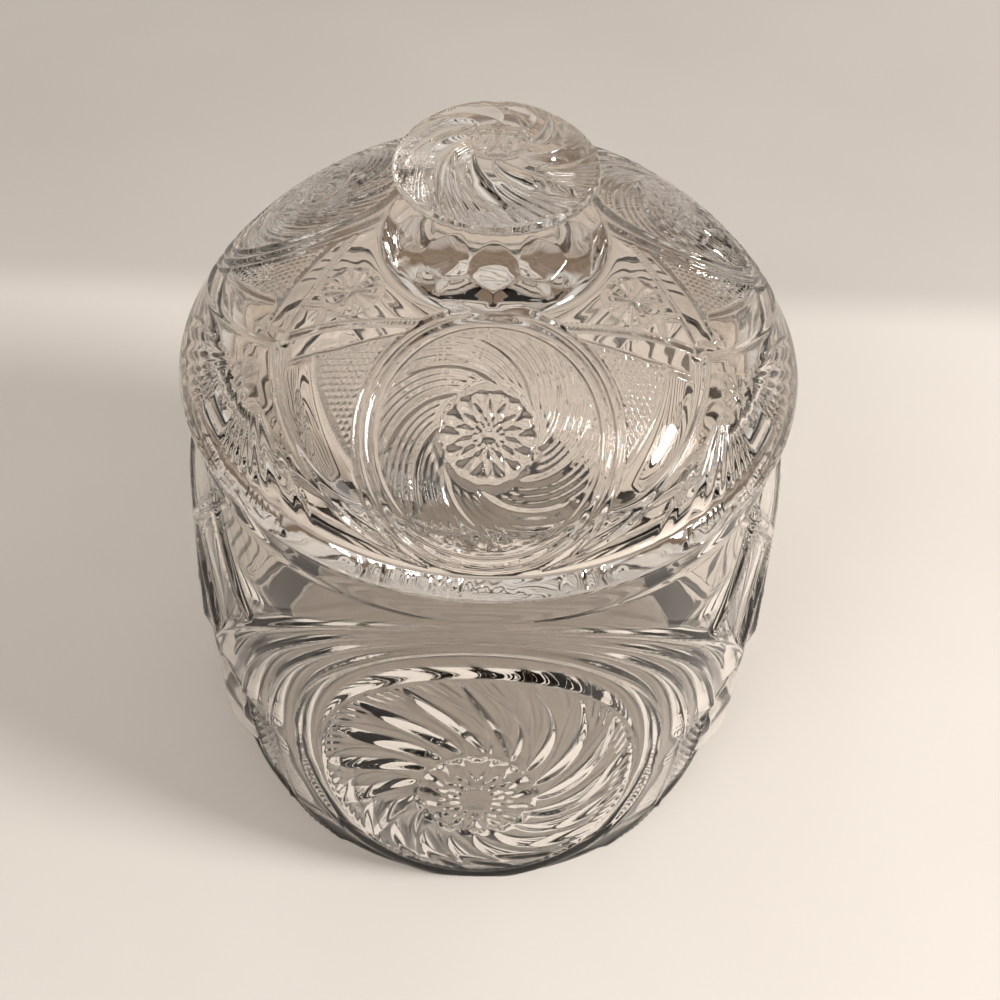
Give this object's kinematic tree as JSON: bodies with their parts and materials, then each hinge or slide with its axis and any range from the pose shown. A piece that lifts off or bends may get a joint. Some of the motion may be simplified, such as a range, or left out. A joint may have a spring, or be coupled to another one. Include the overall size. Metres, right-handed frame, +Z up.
{
  "type": "biscuit jar",
  "caption": "Round pressed-glass biscuit jar with a loose domed lid and mushroom knob, cut with whirling stars, swags and fans.",
  "frame": {"origin": "centre of the base on the surface it stands on", "axes": "+Z up through the knob; -Y towards the front medallion"},
  "size_m": [0.172, 0.1728, 0.2003],
  "materials": {
    "glass": "clear polished pressed glass"
  },
  "bodies": {
    "jar": {"jar": "glass"},
    "lid": {"lid": "glass"}
  },
  "joints": [
    {"name": "lid_lift", "type": "slide", "parent": "jar", "child": "lid", "axis": [0, 0, 1], "range_m": [0, 0.1]}
  ]
}
